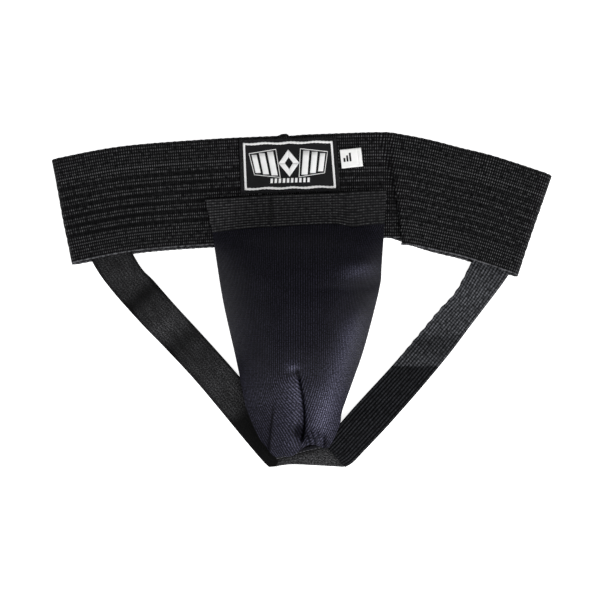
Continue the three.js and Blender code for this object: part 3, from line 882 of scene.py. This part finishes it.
def waleLines(x, y, rise, span, across):
    # the knit's own coordinates: wales run down the pouch, and each side is turned about the slit's
    # top to meet in it at a slant, as a dart sewn out of flat cloth makes them do
    topX, topY = pouch["dart"][0]
    reach = np.hypot(x - topX, y - topY)
    turn = np.arctan2(x - dartAt(np.minimum(y, topY)), topY - y)
    lean = np.where(turn < 0, -pouch["leanLeft"], pouch["leanRight"]) * (1 - ramp(np.abs(turn), 0, 1.9))
    wale = topX + reach * np.sin(turn + lean)
    course = topY - reach * np.cos(turn + lean)
    steep = 2 * pouch["crown"] * np.abs(2 * across - 1) ** (pouch["crown"] - 1)
    slope = steep * rise / np.maximum(span, 1)
    return np.stack([wale * (1 + 0.22 * np.minimum(slope, 2.2)), course * 1.12], -1)


def knitSpot(along, across):
    # columns stand closer together round the slit
    across = across + 0.5 * np.sin(2 * math.pi * (across - 0.05)) / (2 * math.pi)
    across = (across - across.min()) / (across.max() - across.min())
    left, right = pouchLeft(along), pouchRight(along)
    spot = left + (right - left) * across[:, None]
    x, y = spot[:, 0], spot[:, 1]
    for lift, middle, reach in pouch["toeEdge"]:
        y = y + ramp(along, 0.9, 1.0) * lift * hump(across, middle, reach)
    level = frontLevel(x, y, across) + knitShape(x, y, across) + pouch["knit"] / 2
    cloth = waleLines(x, y, riseAt(y), np.abs(right - left)[:, 0], across)
    return np.stack([x, y, level], -1), cloth, paintedKnitLight(x, y)


knitFront = layCloth("pouch_knit_front", 250, 180, knitSpot, pouch["knit"], navyKnit)


def insetLine(points, inset):
    return smoothLine([(x + inset, y) for x, y in points])[0]


def liningSpot(along, across):
    left = insetLine(pouch["left"], 2.2)(along)
    right = insetLine(pouch["right"], -2.2)(along)
    spot = left + (right - left) * across[:, None]
    x, y = spot[:, 0], spot[:, 1] + 4 * ramp(along, 0.85, 1.0)
    level = backLevel(y) - pouch["lining"] / 2 - 0.05 + 0.12 * grain(x, y, 22, 5.0)
    return np.stack([x, y, level], -1), np.stack([x, y], -1), 0.0


liningBack = layCloth("pouch_lining_back", 90, 60, liningSpot, pouch["lining"] - 0.1, blackTricot)

# mouth of the pouch: a ribbed elastic from the knit's top edge up over the waistband
mouth = {
    "top": [(-67.8, 70.8), (-40, 72.3), (-22, 73.4), (20.6, 74.9), (42, 76.4), (60.4, 77.1)],
    "bottom": [(-62.6, 47.2), (-40, 49.8), (-22, 51), (20.6, 53.2), (35.5, 51.2), (46, 52.6), (59, 53.8)],
    "thick": 1.1, "ribs": 12, "ribPitch": 1.8, "tick": 1.9, "relief": 0.26,
}
mouthWeave = ribbedElastic("ribbed mouth elastic", "#08080a", "#565657", "#727274", mouth["ribPitch"],
                           mouth["tick"])
mouthTop = smoothLine(mouth["top"])[0]
mouthBottom = smoothLine(mouth["bottom"])[0]


def mouthLevel(x, y):
    return frontLevel(x, y, (x + 62) / 121) + 0.6 + mouth["thick"] / 2


def mouthTone(x):
    # paler where the weave is smooth at the left end, and along the middle
    return 0.12 * (1 - ramp(x, -50, -38)) + 0.04 * hump(x, 4, 18)


def mouthSpot(along, across):
    low, high = mouthBottom(along), mouthTop(along)
    spot = low + (high - low) * across[:, None]
    x, y = spot[:, 0], spot[:, 1]
    ribbed = 0.25 + 0.75 * ramp(x, -50, -40)
    crest = np.sin(across * mouth["ribs"] * 2 * math.pi)
    change = mouth["relief"] * crest * ribbed
    change -= 1.0 * hump(x, -21.3, 1.1) + 0.45 * hump(x, 20.6, 0.9)
    change += 0.5 * hump(x, -17.6, 2.2) - 0.7 * hump(x, 29.5, 2.6) + 0.5 * hump(x, 25, 2.4)
    change += 0.25 * grain(x, y, 16, 2.0)
    span = mouth["ribPitch"] * mouth["ribs"]
    places = np.stack([x, y, mouthLevel(x, y) + change], -1)
    return places, np.stack([x, across * span], -1), mouthTone(x)


mouthElastic = layCloth("pouch_mouth_elastic", 160, 84, mouthSpot, mouth["thick"], mouthWeave)


def overMouth(points, up):
    line = evenLine(points)[0](np.linspace(0, 1, 40))
    return np.column_stack([line, mouthLevel(line[:, 0], line[:, 1]) + mouth["thick"] / 2 + up])


# the left bartack as a solid near-black line, wider than its stitches: the thread, with the shade beside
# it painted into the same black
tackLeft = sewRow("mouth_bartack_left", [overMouth([(-21.4, 69.5), (-21.2, 53)], -0.1)], tackThreadAndShade,
                  long=1.9, gap=0.1, thick=1.0)
tackRight = sewRow("mouth_bartack_right", [overMouth([(20.6, 74), (20.5, 55)], -0.05)], greyThread,
                   long=1.5, gap=0.8)
edgeLine = mouthBottom(np.linspace(0.03, 0.97, 90)) + np.array([0, 0.9])
edgeLevel = mouthLevel(edgeLine[:, 0], edgeLine[:, 1]) + mouth["thick"] / 2 + 0.12
edgeRow = np.column_stack([edgeLine, edgeLevel])
# the coverstitch is black on its left half and pale grey on its right half
halfway = len(edgeRow) // 2
mouthSewing = sewRow("mouth_coverstitch", [edgeRow[:halfway]], blackThread, gap=1.0)
mouthSewingRight = sewRow("mouth_coverstitch_right", [edgeRow[halfway:]], greyThread, long=1.9, gap=1.5)

# seams of the pouch
sides = {"inset": 0.9, "across": 0.85, "up": 0.8, "drop": 0.1, "ends": (0, 0.985)}


def sideSeam(name, edge, inset):
    line = insetLine(edge, inset)(np.linspace(*sides["ends"], 26))
    row = np.column_stack([line, backLevel(line[:, 1]) - sides["drop"]])
    return sweepBead(name, row, sides["across"], sides["up"], navyKnit)


beadLeft = sideSeam("side_seam_roll_left", pouch["left"], sides["inset"])
beadRight = sideSeam("side_seam_roll_right", pouch["right"], -sides["inset"])


def acrossAt(x, y):
    # share across the pouch of a point on its front
    rows = np.linspace(0, 1, 200)
    left, right = pouchLeft(rows), pouchRight(rows)
    a = np.interp(y, left[::-1, 1], left[::-1, 0])
    b = np.interp(y, right[::-1, 1], right[::-1, 0])
    return np.clip((x - a) / (b - a), 0.02, 0.98)


def onKnit(x, y, up):
    across = acrossAt(x, y)
    return frontLevel(x, y, across) + knitShape(x, y, across) + pouch["knit"] + up


dartY = np.linspace(-55, -99, 60)
dartRow = np.column_stack([dartAt(dartY), dartY, onKnit(dartAt(dartY), dartY, -0.3)])
dartSewing = sewRow("dart_stitches", [dartRow], blackThread, long=1.7, gap=0.6, thick=0.5, lean=0.5)
hemPoints = [(-18, -111.4), (-9, -109.2), (0, -106.6), (11, -104), (19.5, -102.6)]
hemLine = smoothLine(hemPoints)[0](np.linspace(0, 1, 30))
hemBead = sweepBead("bottom_hem_roll", np.column_stack([hemLine, backLevel(hemLine[:, 1]) + 0.4]),
                    across=1.7, up=0.9, material=blackTricot, steps=60)
hemEdge = hemLine + np.array([0.3, -1.5])
hemRow = np.column_stack([hemEdge, backLevel(hemEdge[:, 1]) + 0.55])
hemSewing = sewRow("hem_selvedge_thread", [hemRow], greyThread, long=2.3, gap=0.5, thick=0.6)
joinX = np.linspace(-46, 46, 40)
joinRow = np.column_stack([joinX, np.full(40, 48.8), np.full(40, pouch["topLevel"] + 0.35)])
joinSewing = sewRow("pouch_join_stitches", [joinRow], blackThread, long=2.4)
print("pouch sewn")

# leg straps: elastic tape, soft side up on the left one, ribbed side up on the right one
strap = {
    "wide": 26, "thick": 1.05, "inBand": 2.75, "ribs": 12, "ribPitch": 2.1, "tick": 1.9, "relief": 0.22,
    "stitch": 1.8, "stitchGap": 0.3,
}
strapWeave = ribbedElastic("ribbed strap elastic", "#020203", "#313236", "#8a8c92", strap["ribPitch"],
                           strap["tick"])
leftStrap = {
    "outer": [(-154, 44), (-147.7, 26.2), (-135.6, 8.2), (-114.3, -16), (-93.7, -37.3), (-71, -62.1),
              (-36.9, -103.3), (-24.5, -117.2), (-20.6, -118.7), (-7.1, -117.1), (11.4, -117.8),
              (30.6, -118.9)],
    "inner": [(-131, 54), (-119.3, 32.3), (-112.2, 21), (-104.4, 13.1), (-88.8, -4.6), (-72.4, -22.4),
              (-58.9, -37.3), (-44, -54.3), (-14, -90), (-9, -93), (0, -92.5), (30, -93)],
}
leftOuter = smoothLine(leftStrap["outer"])
leftInner = smoothLine(leftStrap["inner"])


def matchedShares(line, length, points, count):
    # where each drawn point falls along its own line, so that two edges can be walked together
    dense = line(np.linspace(0, 1, count))
    return [float(np.argmin(np.linalg.norm(dense - np.array(p), axis=1))) / (count - 1) for p in points]


leftMarks = [(0, 0), (1, 1), (3, 4), (5, 6), (6, 8), (7, 8), (8, 9), (9, 10), (11, 11)]
outerMarks = matchedShares(*leftOuter, [leftStrap["outer"][i] for i, j in leftMarks], 900)
innerMarks = matchedShares(*leftInner, [leftStrap["inner"][j] for i, j in leftMarks], 900)
innerMarks[4] -= 0.02  # the inner edge turns a little before the outer one
innerMarks[5] += 0.005
pleatAt = outerMarks[6]


def leftSpot(along, across):
    # the strap runs to the toe's left corner, folds back a little and goes on under itself
    fold = 0.012
    walk = np.array([0, pleatAt + fold, pleatAt - 2 * fold, 1.0])
    stops = np.array([0, pleatAt + fold, pleatAt + 4 * fold, 1.0])
    levels = np.array([0.5, 2.7, 1.6, 0.5])
    share = np.interp(along, stops, walk)
    outer = leftOuter[0](share)
    inner = leftInner[0](np.interp(share, outerMarks, innerMarks))
    spot = outer + (inner - outer) * across[:, None]
    x, y = spot[:, 0], spot[:, 1]
    rest = strap["thick"] / 2 + (strap["inBand"] - strap["thick"] / 2) * ramp(y, 6, 24)
    pleat = ramp(along, pleatAt - 0.09, pleatAt + fold)
    level = rest + pleat * (np.interp(along, stops, levels) - 0.5) * (along < stops[2] + 0.02)
    level = np.maximum(level, rest)
    level = level + 0.48 * (1 - ramp(share, 0.5, 0.62)) * (1 + grain(x, y, 34, 4.0)) * ramp(-y, -40, 10)
    level = level + 0.25 * np.abs(2 * across - 1) ** 6
    # tone mixes in the shaded copy of the pile: painted shade under the pouch's edge and towards the
    # pleat, and darker in two bands across and at both edges
    gone = 0.65 * x - 0.76 * y
    before = 1 - ramp(along, stops[1], stops[2])
    tone = 0.6 + 0.34 * hump(gone, -74.7, 6.0) + 0.3 * hump(gone, -32, 7) * (1 - 0.6 * across)
    tone = tone - 0.3 * hump(gone, -48, 9) - 0.16 * hump(gone, 8, 16) + 0.48 * ramp(gone, 26, 42)
    tone = tone + 0.5 * np.abs(2 * across - 1) ** 10
    tone = tone + 0.3 * ramp(share, pleatAt - 0.07, pleatAt - 0.01)
    # painted shadow on the bridge, darkest along the pouch's edge
    bridgeShade = 0.2 + 0.72 * ramp(y - 0.25 * x, -113.5, -107.5) + 0.12 * grain(x, y, 5, 9.0)
    tone = np.clip(before * tone + (1 - before) * bridgeShade, 0, 1)
    cloth = np.stack([along * leftOuter[1], across * strap["wide"]], -1)
    return np.stack([x, y, level], -1), cloth, tone


strapLeft = layCloth("leg_strap_left_tape", 300, 22, leftSpot, strap["thick"], strapPlush)

rightStrap = {
    "inner": [(129, 42), (121.4, 27.3), (110, 6), (98, -7.5), (84.5, -23.8), (64.6, -47.2), (40.5, -73.5),
              (15.6, -101.9)],
    "outer": [(151, 27), (147, 17.4), (136.3, 2.5), (120, -18.8), (105, -38.7), (84.5, -63.5),
              (62.5, -88.4), (42.6, -109.5), (36.6, -115.6), (31.2, -118.9)],
}
rightInner = smoothLine(rightStrap["inner"])
rightOuter = smoothLine(rightStrap["outer"])


def rightSpot(along, across):
    inner, outer = rightInner[0](along), rightOuter[0](along)
    spot = inner + (outer - inner) * across[:, None]
    x, y = spot[:, 0], spot[:, 1]
    level = strap["thick"] / 2 + (strap["inBand"] - strap["thick"] / 2) * ramp(y, -6, 12)
    level = level + 2.1 * ramp(-y, 74, 88)
    crest = -np.cos(across * strap["ribs"] * 2 * math.pi)
    level = level + strap["relief"] * crest
    # a long wave: the tape tilts to the light above its crook and lies in shade below it
    level = level + 2.6 * hump(along, 0.36, 0.14) + 0.5 * hump(along, 0.75, 0.09)
    # the inner edge is frilled where the tape is slack
    slack = ramp(along, 0.08, 0.2) * (1 - ramp(along, 0.45, 0.6))
    x = x - 0.35 * np.sin(along * 150) * slack * hump(across, 0, 0.06)
    # the light catches the upper stretch and stops short at the edge of the pouch's shadow
    tone = 0.36 * ramp(y, -47.8, -46.6) * (1 - 0.5 * hump(y, -32, 7)) + 0.12 * ramp(y, -28, -21)
    cloth = np.stack([along * rightInner[1], across * strap["ribPitch"] * strap["ribs"]], -1)
    return np.stack([x, y, level], -1), cloth, tone


strapRight = layCloth("leg_strap_right_tape", 170, 84, rightSpot, strap["thick"], strapWeave)


def zigzag(start, end, teeth=12, wide=2.4):
    level = strap["inBand"] + strap["thick"] / 2 + 0.15
    row = []
    way = np.array(end, float) - np.array(start, float)
    side = np.array([-way[1], way[0]]) / np.linalg.norm(way)
    for i in range(teeth + 1):
        point = np.array(start) + way * i / teeth + side * wide * (1 if i % 2 else -1) / 2
        row.append((*point, level))
    return row


strapSewingLeft = sewRow("strap_zigzag_left", [zigzag((-148, 42), (-130, 49))], blackThread,
                         strap["stitch"], strap["stitchGap"])
strapSewingRight = sewRow("strap_zigzag_right", [zigzag((130.5, 36), (147, 27))], blackThread,
                          strap["stitch"], strap["stitchGap"])
print("straps laid")

# cup: moulded shell with vents and a soft cushion round its rim
cup = {
    "centre": (-1.5, -12, 9.9), "halfLength": 58, "halfWidth": 42, "taper": 0.4, "square": 2.4,
    "depth": 36, "wall": 2.4, "flange": 4, "cushion": 4, "flatness": 2.2, "fall": 0.588,
    "vent": 3.0, "ventPitch": 12.6, "vents": [(-14, 3), (6, 4), (24, 3)],
}


def cupReach(angle):
    halfWidth = cup["halfWidth"] * (1 + cup["taper"] * np.sin(angle))
    sideways = (np.abs(np.cos(angle)) / halfWidth) ** cup["square"]
    lengthways = (np.abs(np.sin(angle)) / cup["halfLength"]) ** cup["square"]
    return (sideways + lengthways) ** (-1 / cup["square"])


def placeCup(piece):
    # from the cup's own place, rim at z 0, to where it lies in the pouch
    tilt = Matrix.Rotation(pouchTilt, 4, "X")
    spot = Matrix.Translation(drawing(cup["centre"]))
    piece.data.transform(spot @ tilt @ Matrix.Diagonal((mm, mm, mm, 1)))


def spinOutline(name, profile, material, turns=96):
    # a closed section spun round the cup's axis, then pulled out to the cup's outline
    bm = bmesh.new()
    ring = [bm.verts.new((share, 0, height)) for share, height in profile]
    edges = [bm.edges.new((ring[i], ring[i + 1])) for i in range(len(ring) - 1)]
    if profile[0][0] > 0:
        edges.append(bm.edges.new((ring[-1], ring[0])))
    bmesh.ops.spin(bm, geom=ring + edges, cent=(0, 0, 0), axis=(0, 0, 1), angle=2 * math.pi,
                   steps=turns, use_merge=True)
    bmesh.ops.remove_doubles(bm, verts=bm.verts, dist=1e-5)
    bmesh.ops.recalc_face_normals(bm, faces=bm.faces)
    piece = finishMesh(name, bm, material)
    flat = getVerts(piece.data)
    reach = cupReach(np.arctan2(flat[:, 1], flat[:, 0]))
    setVerts(piece.data, np.column_stack([flat[:, 0] * reach, flat[:, 1] * reach, flat[:, 2]]))
    return piece


def domeHeight(share):
    # 1 at the crown to 0 at the rim
    return (1 - share ** cup["flatness"]) ** cup["fall"]


def cupProfile():
    seat = cup["cushion"] + 0.3
    inner = 1 - cup["wall"] / cup["halfWidth"]
    flange = 1 - cup["flange"] / cup["halfWidth"]
    steps = [math.sin(i / 24 * math.pi / 2) for i in range(25)]
    top = seat + cup["wall"]
    outside, inside = cup["depth"] - cup["wall"], cup["depth"] - 2 * cup["wall"]
    profile = [(s * flange, top + domeHeight(s) * outside) for s in steps]
    profile += [(0.985, top), (1.0, seat + cup["wall"] * 0.6), (1.0, seat + 0.5), (0.985, seat)]
    hollow = flange + inner - 1
    profile += [(s * hollow, seat + domeHeight(s) * inside) for s in reversed(steps)]
    return profile


shell = spinOutline("cup_moulded_shell", cupProfile(), cupPlastic)
drill = bmesh.new()
for row, count in cup["vents"]:
    for i in range(count):
        x = (i - (count - 1) / 2) * cup["ventPitch"]
        bmesh.ops.create_cone(drill, cap_ends=True, segments=28, radius1=cup["vent"], radius2=cup["vent"],
                              depth=2 * cup["depth"], matrix=Matrix.Translation((x, row, cup["depth"])))
cutter = finishMesh("vent_drill", drill, cupPlastic)
cut = shell.modifiers.new("vents", "BOOLEAN")
cut.operation = "DIFFERENCE"
cut.object = cutter
rounded = bpy.data.meshes.new_from_object(shell.evaluated_get(bpy.context.evaluated_depsgraph_get()))
shell.modifiers.clear()
shell.data = rounded
bpy.data.objects.remove(cutter)
placeCup(shell)
soften = shell.modifiers.new("edges", "BEVEL")
soften.width = 0.35 * mm
soften.segments = 2
soften.limit_method = "ANGLE"
soften.angle_limit = math.radians(50)
shell.data.set_sharp_from_angle(angle=math.radians(50))

cushionRing = spinOutline("cup_rim_cushion", [
    (0.833, 3.3), (0.833, 1.4), (0.85, 0.5), (0.885, 0.0), (0.96, 0.0), (1.0, 0.4), (1.02, 1.3),
    (1.02, 3.1), (1.005, 3.9), (0.96, 4.0), (0.88, 4.0), (0.845, 3.9)], cushionRubber)
placeCup(cushionRing)
softRing = cushionRing.modifiers.new("soft", "SUBSURF")
softRing.levels = softRing.render_levels = 1
print("cup moulded")

# who moves with what, and which plain solids each piece stands for
pieces = [
    (waistband, "harness", "band_elastic", ["waistband"]),
    (labelBase, "harness", "label_satin", ["woven_label"]),
    (labelFrame, "harness", "label_satin", []),
    (labelDevice, "harness", "label_satin", []),
    (labelSewing, "harness", "thread", ["label_stitching"]),
    (sizeTag, "tag", "tag_satin", ["size_tag"]),
    (tagMark, "tag", "tag_satin", []),
    (knitFront, "harness", "pouch_knit", ["pouch_front"]),
    (liningBack, "harness", "pouch_lining", ["pouch_back"]),
    (mouthElastic, "harness", "mouth_elastic", ["mouth_elastic"]),
    (tackLeft, "harness", "thread", ["mouth_tack_left"]),
    (tackRight, "harness", "thread", ["mouth_tack_right"]),
    (mouthSewing, "harness", "thread", []),
    (mouthSewingRight, "harness", "thread", []),
    (beadLeft, "harness", "pouch_knit", ["side_seam_left"]),
    (beadRight, "harness", "pouch_knit", ["side_seam_right"]),
    (dartSewing, "harness", "thread", ["dart_seam"]),
    (hemBead, "harness", "pouch_knit", ["bottom_hem"]),
    (hemSewing, "harness", "thread", []),
    (joinSewing, "harness", "thread", ["pouch_join_seam"]),
    (strapLeft, "harness", "strap_elastic", ["leg_strap_left", "strap_bridge"]),
    (strapRight, "harness", "strap_elastic", ["leg_strap_right"]),
    (strapSewingLeft, "harness", "thread", ["strap_tack_left"]),
    (strapSewingRight, "harness", "thread", ["strap_tack_right"]),
    (shell, "cup", "cup_plastic", ["cup_shell"]),
    (cushionRing, "cup", "cushion_rubber", ["cup_cushion"]),
]
for piece, body, slot, nodes in pieces:
    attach(piece, body)
    if nodes:
        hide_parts(*nodes)

# the knit front, the mouth elastic and the stitches on them each get a mesh of their own
for piece in (knitFront, mouthElastic, tackLeft, tackRight, mouthSewing, mouthSewingRight, dartSewing):
    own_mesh(piece)

# floor, light and camera
studio = {
    "floor": 8.0, "floorGap": 0.0001, "viewWidth": 426, "viewMiddle": (-0.7, -0.35), "distance": 3.2,
    "world": 0.32,
    # softboxes: place and size in metres, power in watts
    "boxes": [((1.6, -0.3, 0.95), 1.1, 18), ((-1.65, -0.1, 0.9), 1.1, 12), ((0.5, -1.6, 0.95), 1.0, 28),
              ((0.1, 1.7, 1.3), 1.0, 4)],
}


def whiteFloor():
    # seamless white vinyl under the softboxes, a little matt
    material, tree, shader = newMaterial("matt white vinyl", 0.8, 0.1)
    where = addNode(tree, "TexCoord").outputs["Object"]
    cloud = addNode(tree, "TexNoise", {"Vector": where, "Scale": 2.0})
    tree.links.new(blendColour(tree, cloud, "#f4f4f4", "#f8f8f8"), shader.inputs["Base Color"])
    shader.inputs["Emission Color"].default_value = (1, 1, 1, 1)
    shader.inputs["Emission Strength"].default_value = 0.8
    return material


bm = bmesh.new()
bmesh.ops.create_grid(bm, x_segments=2, y_segments=2, size=studio["floor"] / 2)
floor = finishMesh("floor", bm, whiteFloor())
floor.data.transform(Matrix.Translation((0, 0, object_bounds()[0][2] - studio["floorGap"])))

for place, size, power in studio["boxes"]:
    box = bpy.data.lights.new("softbox", "AREA")
    box.shape = "SQUARE"
    box.size = size
    box.energy = power
    lamp = bpy.data.objects.new("softbox", box)
    lamp.location = place
    lamp.rotation_euler = (-Vector(place)).to_track_quat("-Z", "Y").to_euler()
    bpy.context.scene.collection.objects.link(lamp)

world = bpy.data.worlds.new("studio")
world.use_nodes = True
world.node_tree.nodes["Background"].inputs[0].default_value = (1, 1, 1, 1)
world.node_tree.nodes["Background"].inputs[1].default_value = studio["world"]
bpy.context.scene.world = world
bpy.context.scene.view_settings.view_transform = "Standard"

lens = bpy.data.cameras.new("camera")
lens.sensor_width = 36
lens.lens = lens.sensor_width * studio["distance"] / (studio["viewWidth"] * mm)
lens.clip_end = 20
camera = bpy.data.objects.new("camera", lens)
middle = drawing((*studio["viewMiddle"], 0))
camera.location = (middle[0], middle[1], studio["distance"])
bpy.context.scene.collection.objects.link(camera)
bpy.context.scene.camera = camera
print("studio ready")
